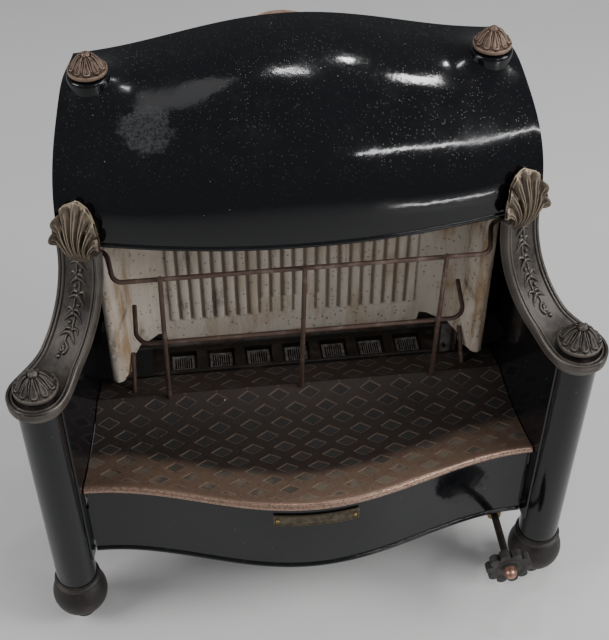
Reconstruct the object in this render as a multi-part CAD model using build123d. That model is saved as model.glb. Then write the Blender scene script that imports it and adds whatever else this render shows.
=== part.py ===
from build123d import *
import math
import os

os.makedirs("parts", exist_ok=True)

# A free-standing gas fire of the 1920s: an enamelled hood on two splayed side
# panels, cast arms and ball feet in front, a cast hearth, a seven-port burner
# in front of a reeded fireclay back, a wire guard and a tap under the skirt.
# Millimetres, +Z up, the fire faces -Y. Lengths along Y are first measured
# from the front columns' centres; place() then moves everything so that the
# origin is under the middle of the whole heater.

# ---- Body ----
half_span = 285.0            # middle of the heater to a front column's centre
body_bottom = 112.0          # underside of skirt, side panels and back panel
rear_face = 238.0            # back panel's outer face
splay_angle = 10.8           # side panels lean in towards the back, degrees
sheet = 2.0                  # body sheet thickness
fit_gap = 0.3                # gap between pieces that only lie together
running_gap = 0.05           # radial gap of a fit that turns or slides

# ---- Columns and feet ----
column_radius = 24.0
column_wall = 2.0
foot_ball_radius = 33.0
foot_ball_height = 42.0      # centre of the ball above the floor
foot_pad_radius = 14.0
foot_top = 78.0
rod_radius = 4.0
rear_leg_radius = 11.0
rear_leg_inset = 26.0        # leg centre to the outer corner of the body

# ---- Arms ----
arm_top = 400.0              # flat round end over the column
arm_reach = 98.7             # column centre to the arm's upright end, in plan
arm_rise = 120.0             # height of the sweep from flat to upright
arm_yaw = 33.8               # the arm's plane turns in from straight back
arm_width = 50.0
arm_thickness = 10.0
arm_end_radius = 32.0
arm_border = 6.0             # width of the raised border
arm_border_height = 2.5

# ---- Castings on the arms and the hood ----
rosette_radius = 23.5
rosette_height = 26.0
rosette_stand = 7.0          # stalk under the rosette
leaf_height = 76.0
leaf_width = 52.0
leaf_thickness = 12.0
finial_inset = 83.0          # column's centre line in to a finial's
finial_back = 176.0          # behind the columns' centres

# ---- Hood ----
lip_height = 528.0
lip_side_y = 86.0
lip_bow = 34.0               # the lip stands this far forward in the middle
hood_rise = 122.0            # lip to crest at the sides
hood_depth = 149.0           # lip to crest, front to back
hood_curve = 0.91            # power of the oval that the hood's section follows
crest_rise = 33.0            # hump of the crest in the middle
hood_inset = 33.0            # column's centre line in to the hood's side
hood_bead = 3.5
panel_overhang = 3.0         # the hood stands out past the side panels

# ---- Hearth and skirt ----
hearth_front_height = 236.0
hearth_back_height = 266.0
hearth_back = 133.0
hearth_bow = 52.0
hearth_thickness = 6.0
hearth_bead = 5.0
hearth_crease = 104.0        # where the dished part meets the flat ledge
dish_start = 10.0
skirt_inset = 6.0
skirt_bead = 3.5
diamond_length = 24.0
diamond_width = 13.0
diamond_pitch_x = 36.3
diamond_pitch_y = 15.2
diamond_offset = 9.0
diamond_depth = 1.4
plate_width = 98.0           # blank nameplate
plate_height = 18.0
plate_middle = 205.0

# ---- Burner and fireback ----
port_count = 7
port_pitch = 45.3
port_length = 33.0
port_depth = 30.0
port_recess = 6.0
grid_thickness = 3.0
grid_slots = 8
burner_end = 13.45           # beyond the last port's share of the burner
burner_width = 43.0
burner_height = 40.0
clay_face = 184.0            # front of the fireback's flat part
clay_thickness = 15.0
clay_bottom = 268.0
clay_flat_half = 150.0
clay_wing_x = 203.0
clay_wing_front = 121.0
clay_top = 545.0
reed_count = 22
reed_radius = 5.2
reed_stand = 3.0             # how far a reed stands out of the flat wall
reed_bottom = 308.0
middle_reeds = 6             # these end higher, over a blank stretch
middle_reed_rise = 27.0

# ---- Guard ----
wire = 2.6                   # wire radius
hinge_y = 106.0
hinge_z = 494.0
rail_y = 75.0
rail_z = 476.0
low_rail_z = 367.0
upright_top_half = 150.0
upright_low_half = 155.0
upright_foot_y = 100.0
guard_turn_x = 198.0         # where the rail turns back to its hooks

# ---- Gas tap, pipe and flue ----
tap_inset = 55.0             # column's centre line in to the tap
tap_y = 40.0
tap_z = 97.0
tap_radius = 14.0
plug_radius = 7.0
stem_radius = 4.5
knob_radius = 28.0
knob_y = -65.0
knob_lobes = 10
cap_nut_reach = 18.0         # knob's middle to the tip of its cap nut
cap_nut_radius = 7.5
inlet_radius = 8.4
pipe_radius = 5.0
mixer_z = 176.0
mixer_radius = 15.0
mixer_mouth_x = 104.0
spud_radius = 5.0
air_ring = 12.0              # the four air holes' circle
air_hole_radius = 4.7
flue_radius = 37.0
flue_y = 280.0
flue_top = 634.0
cap_radius = 39.5
cap_holes = 6
cap_hole_radius = 7.5
cap_hole_ring = 25.0

slope = math.tan(math.radians(splay_angle))
finial_across = half_span - finial_inset
hood_half_width = half_span - hood_inset
burner_half_length = port_count * port_pitch / 2 + burner_end
tap_x = half_span - tap_inset
near_x, far_x = 100.0, half_span + 45.0      # span that holds one side panel
above_all = 800.0
panel_outer = half_span - column_radius - fit_gap
panel_inner = panel_outer - sheet
flue_half = flue_radius + 8.0
front_reach = abs(knob_y) + cap_nut_reach
rear_reach = flue_y + flue_half
column_y = (front_reach - rear_reach) / 2


def panel_x(y, face):
    """Where a splayed side panel's face stands at a given depth."""
    return face - slope * y


def place(shape):
    return Pos(0, column_y, 0) * shape


def save(name, shape):
    export_step(place(shape), f"parts/{name}.step")


def save_pair(name, right):
    """The right-hand piece as made, the left-hand one as its mirror image."""
    save(f"{name}_right", right)
    save(f"{name}_left", mirror(right, about=Plane.YZ))


def save_both(name, right):
    """A pair of small identical pieces as two solids in one node."""
    left = mirror(right, about=Plane.YZ)
    save(name, Compound(children=[right.solid(), left.solid()]))


def bar(radius, start, end):
    """Round bar between two points."""
    a, b = Vector(*start), Vector(*end)
    plane = Plane(origin=a, z_dir=(b - a))
    return plane * extrude(Circle(radius), (b - a).length)


def block(x0, x1, y0, y1, z0, z1):
    box = Box(x1 - x0, y1 - y0, z1 - z0)
    return Pos((x0 + x1) / 2, (y0 + y1) / 2, (z0 + z1) / 2) * box


def turned(points, at):
    """Solid of revolution about a vertical axis; points are radius, height."""
    outline = Plane.XZ * make_face(Polyline(*points, close=True))
    return Pos(*at) * revolve(outline, Axis.Z)


def bowed(x, bow, front):
    return front - bow * math.cos(math.pi * x / (2 * panel_inner)) ** 2


def bow_line(inset, half, z):
    """The serpentine front line that the hearth and the skirt share."""
    xs = [half * t for t in (-1, -0.75, -0.5, -0.25, 0, 0.25, 0.5, 0.75, 1)]
    return Spline(*[(x, bowed(x, hearth_bow, -2.0) + inset, z) for x in xs])


# ---- Hood ----
def hood_profile(x, inset):
    """Front-to-back line of the hood at one width, set in from the outside."""
    t = min(abs(x) / (half_span - 45.0), 1.0)
    low = 1 - t ** 2
    high = 0.5 * (1 + math.cos(math.pi * t))
    lip = Vector(0, lip_side_y, lip_height)
    points = []
    for step in range(7):
        angle = math.radians(15 * step)
        depth = 1 - math.cos(angle) ** hood_curve if step < 6 else 1.0
        share = math.sin(angle) ** hood_curve
        weight = low + (high - low) * share
        y = lip.Y + hood_depth * depth - lip_bow * low * (1 - share)
        y -= 12 * weight * math.sin(math.pi * share)
        z = lip.Z + hood_rise * share + crest_rise * high * share
        points.append(Vector(x, y, z))
    if inset == 0:
        return points
    moved = []
    for i, p in enumerate(points):
        before = points[max(i - 1, 0)]
        after = points[min(i + 1, len(points) - 1)]
        run = (after - before).normalized()
        inward = Vector(0, run.Z, -run.Y)
        moved.append(p + inward * inset)
    return moved


def hood_block(inset, floor, rear):
    """Everything under the hood's surface, as one solid."""
    sections = []
    for t in (-1, -0.8, -0.6, -0.4, -0.2, 0, 0.2, 0.4, 0.6, 0.8, 1):
        pts = hood_profile(hood_half_width * t * 1.1, inset)
        first, last = pts[0], pts[-1]
        corner = [(last.X, rear, last.Z), (last.X, rear, floor), (last.X, first.Y, floor)]
        edges = Spline(*pts) + Polyline(last, *corner, first)
        sections.append(make_face(edges))
    return loft(sections)


def splay_wedge(face, low, high):
    """Tall block between two splayed planes, to trim what sits on the panels."""
    front, back = -60.0, rear_face + 60.0
    outline = [(-panel_x(front, face), front), (panel_x(front, face), front),
               (panel_x(back, face), back), (-panel_x(back, face), back)]
    return extrude(Pos(0, 0, low) * make_face(Polyline(*outline, close=True)), high - low)


outer_block = hood_block(0, lip_height - 40, rear_face)
inner_block = hood_block(sheet, lip_height - 40, rear_face + 20)
clear_block = hood_block(sheet + fit_gap, body_bottom, rear_face - sheet)
trim = splay_wedge(panel_outer + panel_overhang, lip_height, above_all)
hood = (outer_block - inner_block) & trim
lip_points = [hood_profile(hood_half_width * t, hood_bead / 2)[0]
              for t in (-0.88, -0.66, -0.44, -0.22, 0, 0.22, 0.44, 0.66, 0.88)]
lip_line = Spline(*lip_points)
hood += sweep(Plane(lip_line @ 0, z_dir=lip_line % 0) * Circle(hood_bead), lip_line)
finial_base = lip_height + hood_rise + 7.0
seat = turned([(0, -22), (24, -22), (24.5, 0), (22, 2.5), (0, 2.5)],
              (finial_across, finial_back, finial_base))
stud_hole = bar(3.0 + running_gap, (finial_across, finial_back, 600),
                (finial_across, finial_back, 700))
for side in (1, -1):
    boss = seat - inner_block
    boss = boss if side == 1 else mirror(boss, about=Plane.YZ)
    hole = stud_hole if side == 1 else mirror(stud_hole, about=Plane.YZ)
    hood = hood + boss - hole
save("hood", hood)

# ---- Side panels ----
arm_dir = Vector(-math.sin(math.radians(arm_yaw)), math.cos(math.radians(arm_yaw)), 0)
arm_plane = Plane(origin=(half_span, 0, 0), x_dir=arm_dir, z_dir=arm_dir.cross(Vector(0, 0, 1)))
arm_centre = arm_top + arm_rise


def sweep_arc(offset):
    """Quarter ellipse of the arm, set down and back by an offset."""
    a, b = arm_reach + offset, arm_rise + offset
    angles = [math.radians(15 * i) for i in range(7)]
    return Spline(*[(a * math.sin(g), arm_centre - b * math.cos(g)) for g in angles],
                  tangents=[(1, 0), (0, 1)])


def above_arm(offset, top):
    """Region over the arm's line, in the arm's own plane."""
    a = arm_reach + offset
    low = arm_top - offset
    rest = Polyline((a, arm_centre), (a, top), (-70, top), (-70, low), (0, low))
    return make_face(sweep_arc(offset) + rest)


arm_space = extrude(arm_plane * above_arm(arm_thickness + fit_gap, 585), 90, both=True)
tall_box = block(near_x, far_x, -10, rear_face - sheet, body_bottom, above_all)
panel_slab = splay_wedge(panel_outer, body_bottom, 780) - splay_wedge(panel_inner, 0, above_all)
front_part = panel_slab & block(near_x, far_x, -10, lip_side_y + 20, body_bottom, arm_centre)
side_panel = (panel_slab & tall_box & clear_block) + front_part
side_panel = side_panel - arm_space
column_space = bar(column_radius + fit_gap, (half_span, 0, 0), (half_span, 0, 500))
disc_space = bar(arm_end_radius + fit_gap, (half_span, 0, arm_top - 16 - fit_gap), (half_span, 0, 500))
side_panel = side_panel - column_space - disc_space
hinge_hole = bar(wire + running_gap, (near_x, hinge_y, hinge_z), (far_x, hinge_y, hinge_z))
save_pair("side_panel", side_panel - hinge_hole)

# ---- Back panel with its flue opening and the screws that hold it ----
screw_radius = 2.0


def back_screw(x, z, start):
    """Round-headed screw through the back of the body."""
    head = Pos(x, start, z) * Sphere(4.2) & block(x - 5, x + 5, start, start + 6, z - 5, z + 5)
    return head + bar(screw_radius, (x, start + 1, z), (x, rear_face - 2 * sheet - 4, z))


def screw_hole(x, z):
    return bar(screw_radius + running_gap, (x, rear_face - 12, z), (x, rear_face + 8, z))


panel_screws = [(side * (panel_x(rear_face, panel_inner) - 9), z)
                for side in (-1, 1) for z in (body_bottom + 60, 330.0, 520.0)]
box_screws = [(side * (flue_radius + 13), z)
              for side in (-1, 1) for z in (flue_top - 92, flue_top - 52)]
rear_half = panel_x(rear_face, panel_outer)
back_panel = block(-rear_half, rear_half, rear_face - sheet, rear_face, body_bottom, above_all)
back_panel = back_panel & hood_block(sheet + fit_gap, body_bottom, rear_face)
flue_box_low = flue_top - 100.0
flue_box_high = flue_top - 42.0
back_panel -= block(-flue_half + 6, flue_half - 6, rear_face - 10, rear_face + 10,
                    flue_box_low + 6, flue_box_high - 6)
for x, z in panel_screws + box_screws:
    back_panel -= screw_hole(x, z)
save("back_panel", back_panel)
save("back_panel_screws", Compound(children=[back_screw(x, z, rear_face).solid() for x, z in panel_screws]))

# ---- Flue box, collar and pierced cap ----
box_back = flue_y + flue_half
flue_box = block(-flue_half, flue_half, rear_face, box_back, flue_box_low, flue_box_high)
flue_box -= block(-flue_half + sheet, flue_half - sheet, rear_face - 1, box_back - sheet,
                  flue_box_low + sheet, flue_box_high - sheet)
flange = block(-flue_half - 10, flue_half + 10, rear_face, rear_face + sheet,
               flue_box_low, flue_box_high)
flange -= block(-flue_half + 1, flue_half - 1, rear_face - 1, rear_face + 5,
                flue_box_low + 1, flue_box_high - 1)
flue_box = flue_box + flange
flue_box -= bar(flue_radius, (0, flue_y, flue_box_high - 10), (0, flue_y, flue_box_high + 10))
for x, z in box_screws:
    flue_box -= screw_hole(x, z)
save("flue_box", flue_box)
save("flue_box_screws", Compound(children=[back_screw(x, z, rear_face + sheet).solid() for x, z in box_screws]))
collar = turned([(flue_radius - sheet, flue_box_high - sheet - 4),
                 (flue_radius - fit_gap, flue_box_high - sheet - 4),
                 (flue_radius - fit_gap, flue_box_high),
                 (flue_radius + 5, flue_box_high), (flue_radius + 5, flue_box_high + sheet),
                 (flue_radius, flue_box_high + sheet), (flue_radius, flue_top),
                 (flue_radius - sheet, flue_top)], (0, flue_y, 0))
save("flue_collar", collar)
cap = turned([(0, 0), (cap_radius, 0), (cap_radius, 1.5), (0, 1.5)], (0, flue_y, flue_top))
skirt_of_cap = turned([(flue_radius - sheet - 2, -8), (flue_radius - sheet - fit_gap, -8),
                       (flue_radius - sheet - fit_gap, 0.5), (flue_radius - sheet - 2, 0.5)],
                      (0, flue_y, flue_top))
cap = cap + skirt_of_cap
for i in range(cap_holes):
    turn = math.radians(360 / cap_holes * i + 93)
    x = cap_hole_ring * math.cos(turn)
    y = flue_y + cap_hole_ring * math.sin(turn)
    cap -= bar(cap_hole_radius, (x, y, flue_top - 2), (x, y, flue_top + 4))
save("flue_cap", cap)

# ---- Front columns, feet and tie rods ----
column_top = arm_top - arm_thickness - 6.0
column = bar(column_radius, (half_span, 0, foot_top), (half_span, 0, column_top))
column -= bar(column_radius - column_wall, (half_span, 0, foot_top - 1), (half_span, 0, column_top + 1))
save_pair("column", column)
ball = Pos(half_span, 0, foot_ball_height) * Sphere(foot_ball_radius)
foot = ball & block(200, 360, -60, 60, foot_ball_height - foot_ball_radius + 4, foot_top)
foot += bar(foot_pad_radius, (half_span, 0, 0), (half_span, 0, 20))
neck = column_radius + 1.0
foot += turned([(0, foot_top - 18), (neck + 1, foot_top - 12), (neck + 2.5, foot_top - 9),
                (neck + 2.5, foot_top - 6), (neck, foot_top - 4), (neck, foot_top), (0, foot_top)],
               (half_span, 0, 0))
foot += bar(column_radius - column_wall - fit_gap, (half_span, 0, foot_top - 2),
            (half_span, 0, foot_top + 6))
foot -= bar(rod_radius + running_gap, (half_span, 0, 40), (half_span, 0, 100))
save_pair("front_foot", foot)
rod_top = arm_top + rosette_stand + 12
save_both("tie_rods", bar(rod_radius, (half_span, 0, 42), (half_span, 0, rod_top)))

# ---- Rear legs: turned, each with a bracket that hooks over the panels' corner ----
leg_x = panel_x(rear_face, panel_inner) - rear_leg_inset
leg_y = rear_face - sheet - rear_leg_inset
leg = turned([(0, 0), (13, 0), (13, 5), (9, 12), (rear_leg_radius, 60),
              (rear_leg_radius, body_bottom - 4), (0, body_bottom - 4)], (leg_x, leg_y, 0))
leg += block(leg_x - 18, panel_x(rear_face - sheet, panel_inner) - fit_gap, leg_y - 18,
             rear_face - sheet, body_bottom - 6, body_bottom - 2)
ear = block(leg_x - 18, leg_x + 12, rear_face - sheet - 3, rear_face - sheet,
            body_bottom - 3, body_bottom + 22)
save_pair("rear_leg", leg + ear)

# ---- Arms ----
strip = extrude(arm_plane * make_face(
    sweep_arc(0) + Line((arm_reach, arm_centre), (arm_reach + arm_thickness, arm_centre))
    + sweep_arc(arm_thickness) + Line((0, arm_top - arm_thickness), (0, arm_top))),
    arm_width / 2, both=True)
edge_band = extrude(arm_plane * make_face(
    sweep_arc(-arm_border_height) + Line((arm_reach - arm_border_height, arm_centre), (arm_reach + 1, arm_centre))
    + sweep_arc(1) + Line((0, arm_top - 1), (0, arm_top + arm_border_height))),
    arm_width / 2, both=True)
middle = extrude(arm_plane * above_arm(2, 600), arm_width / 2 - arm_border, both=True)
end_disc = turned([(0, arm_top - 16), (arm_end_radius - 5, arm_top - 16),
                   (arm_end_radius - 4, arm_top - 10), (arm_end_radius, arm_top - 9),
                   (arm_end_radius, arm_top - 1), (arm_end_radius - 1, arm_top),
                   (0, arm_top)], (half_span, 0, 0))
disc_rim = turned([(arm_end_radius - arm_border, arm_top - 1), (arm_end_radius, arm_top - 1),
                   (arm_end_radius - 1, arm_top + arm_border_height),
                   (arm_end_radius - arm_border + 1, arm_top + arm_border_height)],
                  (half_span, 0, 0))
rim_keep = extrude(arm_plane * make_face(Polyline((-70, 300), (6, 300), (6, 500), (-70, 500), close=True)),
                   60, both=True)
arm = strip + (edge_band - middle) + end_disc + (disc_rim & rim_keep)
arm -= bar(rod_radius + 0.4, (half_span, 0, 300), (half_span, 0, 460))
arm -= bar(9 + fit_gap, (half_span, 0, arm_top), (half_span, 0, arm_top + 10))
save_pair("arm", arm)

# ---- Rosette on the arm and finial on the hood: one pattern of casting ----
def rosette(x, y, base, stand):
    body = turned([(0, 0), (9, 0), (9, stand), (rosette_radius, stand),
                   (rosette_radius, stand + 4), (rosette_radius - 2, stand + 5.5),
                   (rosette_radius - 6, stand + 8), (12, stand + rosette_height - 9),
                   (8, stand + rosette_height - 6), (8, stand + rosette_height - 2),
                   (5, stand + rosette_height), (0, stand + rosette_height)], (x, y, base))
    return body


arm_rosette = rosette(half_span, 0, arm_top, rosette_stand)
arm_rosette -= bar(rod_radius + running_gap, (half_span, 0, arm_top - 1), (half_span, 0, rod_top + 1))
save_pair("arm_rosette", arm_rosette)
finial_foot = finial_base + 2.5
finial = rosette(finial_across, finial_back, finial_foot, 3.0)
finial -= bar(3.0 + running_gap, (finial_across, finial_back, finial_foot - 1),
              (finial_across, finial_back, finial_foot + 14))
save_pair("hood_finial", finial)
tab_z = finial_base - 24.0
stud = bar(3.0, (finial_across, finial_back, tab_z - 12), (finial_across, finial_back, finial_foot + 12))
nut_plane = Plane(origin=(finial_across, finial_back, tab_z - sheet - 5))
stud_nut = nut_plane * extrude(RegularPolygon(6.5, 6), 5)
save_both("finial_studs", stud + stud_nut)

# ---- Acanthus leaves where the arms meet the hood ----
leaf_low = arm_centre - 8.0
leaf_outline = Ellipse(leaf_width / 2, leaf_height / 2)
leaf_plane = Plane(origin=Vector(half_span, 0, leaf_low + leaf_height / 2)
                   + arm_dir * (arm_reach - fit_gap), x_dir=arm_dir.cross(Vector(0, 0, 1)),
                   z_dir=arm_dir * -1)
leaf = leaf_plane * extrude(leaf_outline, leaf_thickness)
leaf -= hood_block(-fit_gap, lip_height - 8, rear_face)
bead_space = sweep(Plane(lip_line @ 0, z_dir=lip_line % 0) * Circle(hood_bead + fit_gap), lip_line)
leaf -= bead_space
save_pair("arm_leaf", leaf)

# ---- Hearth: cast plate, dished up towards the burner, with sunk diamonds ----
hearth_half = panel_inner - 1.0
dish_top = hearth_front_height


def hearth_line(lowered):
    """The hearth's front-to-back line in the YZ plane."""
    front = dish_top - lowered
    back = hearth_back_height - lowered
    flat = Line((-80, front), (dish_start, front))
    dish = TangentArc((dish_start, front), (hearth_crease, back), tangent=(1, 0))
    return flat + dish + Line((hearth_crease, back), (hearth_back, back))


def hearth_slab(top, bottom):
    """Layer of the hearth between two depths under its top."""
    back, front = hearth_back, -80
    ends = [Line((back, hearth_back_height - top), (back, hearth_back_height - bottom)),
            Line((front, dish_top - top), (front, dish_top - bottom))]
    face = make_face(hearth_line(top) + hearth_line(bottom) + ends[0] + ends[1])
    return extrude(Plane.YZ * face, far_x, both=True)


front_line = bow_line(hearth_bead, hearth_half, 0)
corner = panel_x(hearth_back, hearth_half)
plan = front_line + Polyline(front_line @ 1, (corner, hearth_back), (-corner, hearth_back), front_line @ 0)
hearth = extrude(make_face(plan), 400) & hearth_slab(0, hearth_thickness)
bead_line = bow_line(hearth_bead, hearth_half, dish_top - hearth_bead)
hearth += sweep(Plane(bead_line @ 0, z_dir=bead_line % 0) * Circle(hearth_bead), bead_line)
hearth &= splay_wedge(hearth_half, 0, above_all)
half_l, half_w = diamond_length / 2, diamond_width / 2
diamond = make_face(Polyline((-half_l, 0), (0, -half_w), (half_l, 0), (0, half_w), close=True))
diamonds = []
for row in range(10):
    y = -27.0 + row * diamond_pitch_y
    if abs(y - hearth_crease) < half_w:
        y += 2.5 if y > hearth_crease else -2.5
    shift = diamond_offset + (row % 2) * diamond_pitch_x / 2
    for column in range(-8, 9):
        x = column * diamond_pitch_x + shift
        clear_of_front = y - half_w > bowed(x, hearth_bow, -2.0) + 2 * hearth_bead + 2
        clear_of_side = abs(x) + half_l < panel_x(y, hearth_half) - 10
        if clear_of_front and clear_of_side:
            diamonds.append(Pos(x, y, 0) * diamond)
sunk = extrude(Sketch() + diamonds, 400) & hearth_slab(-1, diamond_depth)
hearth -= sunk
pin_foot = (clay_wing_x - 7.5, clay_wing_front - 8, hearth_back_height - hearth_thickness)
pin_head = (clay_wing_x - 11, clay_wing_front + 13, clay_bottom + 41)
pin_way = Vector(*pin_head) - Vector(*pin_foot)
pin_start = Vector(*pin_foot) - pin_way * 0.1
pin = bar(wire, tuple(pin_start + pin_way * 0.06), pin_head)
pin_hole = bar(wire + running_gap, tuple(pin_start), pin_head)
hearth = hearth - pin_hole - mirror(pin_hole, about=Plane.YZ)
save("hearth_plate", hearth)
save_both("fireback_pins", pin)

# ---- Hearth ledges on the side panels ----
ledge_band = splay_wedge(panel_inner - fit_gap, 0, above_all) - splay_wedge(panel_inner - sheet - fit_gap, 0, above_all)
ledge_reach = splay_wedge(panel_inner - fit_gap, 0, above_all) - splay_wedge(panel_inner - 16, 0, above_all)
hearth_under = dish_top - hearth_thickness
back_under = hearth_back_height - hearth_thickness
ledge = ledge_band & block(near_x, far_x, 12, 128, hearth_under - 26, hearth_under - 3)
ledge += ledge_band & block(near_x, far_x, 106, 128, hearth_under - 10, back_under)
ledge += ledge_reach & block(near_x, far_x, 106, 128, back_under - sheet, back_under)
ledge += ledge_band & block(near_x, far_x, 12, 24, hearth_under - 20, hearth_under)
ledge += ledge_reach & block(near_x, far_x, 12, 24, hearth_under - sheet, hearth_under)
save_both("hearth_ledges", ledge)

# ---- Front skirt and its blank nameplate ----
skirt_top = dish_top - 2 * hearth_bead - fit_gap
skirt_half = panel_inner - sheet - 2 * fit_gap
outer_line = bow_line(skirt_inset, skirt_half, body_bottom)
inner_line = bow_line(skirt_inset + sheet, skirt_half, body_bottom)
skirt_plan = outer_line + inner_line + Line(outer_line @ 0, inner_line @ 0) + Line(outer_line @ 1, inner_line @ 1)
skirt = extrude(make_face(skirt_plan), skirt_top - body_bottom)
low_line = bow_line(skirt_inset + 1, skirt_half, body_bottom + skirt_bead)
skirt += sweep(Plane(low_line @ 0, z_dir=low_line % 0) * Circle(skirt_bead), low_line)
skirt_tab = ledge_band & block(near_x, far_x, 4.5, 24.0, body_bottom + 20, skirt_top - 32)
skirt = skirt + skirt_tab + mirror(skirt_tab, about=Plane.YZ)
plate_front = bow_line(skirt_inset - 2.0, skirt_half, plate_middle - plate_height / 2)
plate_back = bow_line(skirt_inset - fit_gap, skirt_half, plate_middle - plate_height / 2)
plate_plan = plate_front + plate_back + Line(plate_front @ 0, plate_back @ 0) + Line(plate_front @ 1, plate_back @ 1)
nameplate = extrude(make_face(plate_plan), plate_height)
nameplate &= block(-plate_width / 2, plate_width / 2, -100, 100, 0, 400)
rivets = []
for x in (-plate_width / 2 + 5, plate_width / 2 - 5):
    y = bowed(x, hearth_bow, -2.0) + skirt_inset
    shank = bar(1.2, (x, y - 3.0, plate_middle), (x, y + sheet + 1.5, plate_middle))
    head = Pos(x, y - 2.5, plate_middle) * Sphere(2.4) & block(x - 5, x + 5, y - 9, y - 2.5, 0, 400)
    rivets.append(shank + head)
    hole = bar(1.25, (x, y - 10, plate_middle), (x, y + 10, plate_middle))
    nameplate -= hole
    skirt -= hole
save("front_skirt", skirt)
save("nameplate", nameplate)
save("nameplate_rivets", Compound(children=[r.solid() for r in rivets]))

# ---- Fireclay back: reeded wall, coves and forward wings ----
cove = clay_face - 138.0


def clay_line(offset):
    """Right half of the fireback's front line, moved out by an offset."""
    radius = cove + offset
    start = (clay_flat_half, clay_face + offset)
    turn = (clay_flat_half + radius, clay_face - cove)
    end = (clay_wing_x + offset, clay_wing_front)
    return (Line((0, clay_face + offset), start) + TangentArc(start, turn, tangent=(1, 0))
            + Line(turn, end))


nose = ThreePointArc((clay_wing_x, clay_wing_front),
                     (clay_wing_x + clay_thickness / 2, clay_wing_front - clay_thickness / 2),
                     (clay_wing_x + clay_thickness, clay_wing_front))
clay_plan = clay_line(0) + nose + clay_line(clay_thickness) + Line((0, clay_face), (0, clay_face + clay_thickness))
clay_half = Pos(0, 0, clay_bottom) * extrude(make_face(clay_plan), clay_top - clay_bottom)
clay_half -= block(clay_flat_half + 2, 188, 120, 230, clay_bottom - 1, 300)
fireback = clay_half + mirror(clay_half, about=Plane.YZ)
reed_pitch = 2 * (clay_flat_half - 2) / reed_count
reed_y = clay_face + reed_radius - reed_stand
for i in range(reed_count):
    from_middle = i - (reed_count - 1) / 2
    rise = middle_reed_rise if abs(from_middle) < middle_reeds / 2 else 0.0
    x = from_middle * reed_pitch
    fireback += bar(reed_radius, (x, reed_y, reed_bottom + rise), (x, reed_y, clay_top))
save("fireback", fireback)
shelf_top = clay_bottom
shelf = block(-300, 300, clay_face - 4, rear_face - sheet, shelf_top - sheet, shelf_top)
shelf += block(-300, 300, rear_face - 2 * sheet, rear_face - sheet, shelf_top - 26, shelf_top)
shelf &= splay_wedge(panel_inner - 18, 0, above_all)
save("fireback_shelf", shelf)

# ---- Heat baffle under the hood ----
baffle_line = Polyline((clay_face + 14, clay_top + fit_gap), (clay_face + 2, clay_top + fit_gap), (118, 588),
                       (117, 589.4), (clay_face + 2.5, clay_top + fit_gap + 1.6),
                       (clay_face + 14, clay_top + fit_gap + 1.6), close=True)
baffle = extrude(Plane.YZ * make_face(baffle_line), far_x, both=True) & splay_wedge(panel_inner - fit_gap, 0, above_all)
save("heat_baffle", baffle)

# ---- Rear corner angles and hood brackets ----
angle = (splay_wedge(panel_inner, 0, above_all) - splay_wedge(panel_inner - sheet, 0, above_all))
angle &= block(near_x, far_x, rear_face - sheet - 15, rear_face - sheet, body_bottom + 30, 560)
angle_back = block(near_x, far_x, rear_face - 2 * sheet, rear_face - sheet, body_bottom + 30, 560)
angle_back &= splay_wedge(panel_inner, 0, above_all) - splay_wedge(panel_inner - 15, 0, above_all)
angle = angle + angle_back
for x, z in panel_screws:
    angle -= screw_hole(x, z)
save_both("corner_angles", angle)
bracket = block(finial_across - 12, far_x, finial_back - 12, finial_back + 12, tab_z - sheet, tab_z)
bracket += (block(near_x, far_x, finial_back - 12, finial_back + 12, tab_z - 30, tab_z)
            - splay_wedge(panel_inner - sheet - fit_gap, 0, above_all))
bracket &= splay_wedge(panel_inner - fit_gap, 0, above_all)
bracket -= bar(3.0 + running_gap, (finial_across, finial_back, 500), (finial_across, finial_back, above_all))
save_both("hood_brackets", bracket)

# ---- Burner with seven ports, their grids, its brackets and bolts ----
burner_front = hearth_back + 2.5
burner_back = burner_front + burner_width
burner_mid = (burner_front + burner_back) / 2
burner_top = hearth_back_height
burner_low = burner_top - burner_height
burner = block(-burner_half_length, burner_half_length, burner_front, burner_back, burner_low, burner_top)
burner -= block(-burner_half_length + 7, burner_half_length - 7, burner_front + 6, burner_back - 6,
                burner_low + 8, burner_top - port_recess - 4)
grid_half_x = port_length / 2 - 3.0
grid_half_y = port_depth / 2 - 3.0
seat_gap = 0.15
grids = []
for i in range(port_count):
    x = (i - (port_count - 1) / 2) * port_pitch
    y = burner_mid - 1.0
    z = burner_top
    burner -= block(x - port_length / 2, x + port_length / 2, y - port_depth / 2, y + port_depth / 2,
                    z - port_recess, z + 5)
    burner -= block(x - grid_half_x, x + grid_half_x, y - grid_half_y, y + grid_half_y,
                    z - port_recess - 1.5, z)
    burner -= block(x - grid_half_x + 2, x + grid_half_x - 2, y - grid_half_y + 2, y + grid_half_y - 2,
                    z - port_recess - 10, z)
    grid = block(x - grid_half_x + seat_gap, x + grid_half_x - seat_gap, y - grid_half_y + seat_gap,
                 y + grid_half_y - seat_gap, z - port_recess - 1.5, z - port_recess - 1.5 + grid_thickness)
    slot_pitch = 2 * (grid_half_x - 3) / grid_slots
    slots = []
    for j in range(grid_slots):
        sx = x + (j - (grid_slots - 1) / 2) * slot_pitch
        slots.append(block(sx - 0.75, sx + 0.75, y - grid_half_y + 3, y + grid_half_y - 3, z - 12, z))
    grids.append((grid - slots).solid())
save("burner_grids", Compound(children=grids))
rib = bar(2.5, (-burner_half_length, burner_front + 3, burner_top), (burner_half_length, burner_front + 3, burner_top))
burner += rib
bolt_x = burner_half_length - 14
bolt_hole = bar(2.5 + running_gap, (bolt_x, burner_mid, burner_low - 20), (bolt_x, burner_mid, burner_low + 10))
burner -= bolt_hole
burner -= mirror(bolt_hole, about=Plane.YZ)
burner -= bar(mixer_radius - 4, (0, burner_mid, burner_low - 5), (0, burner_mid, burner_low + 10))
save("burner_box", burner)
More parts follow.
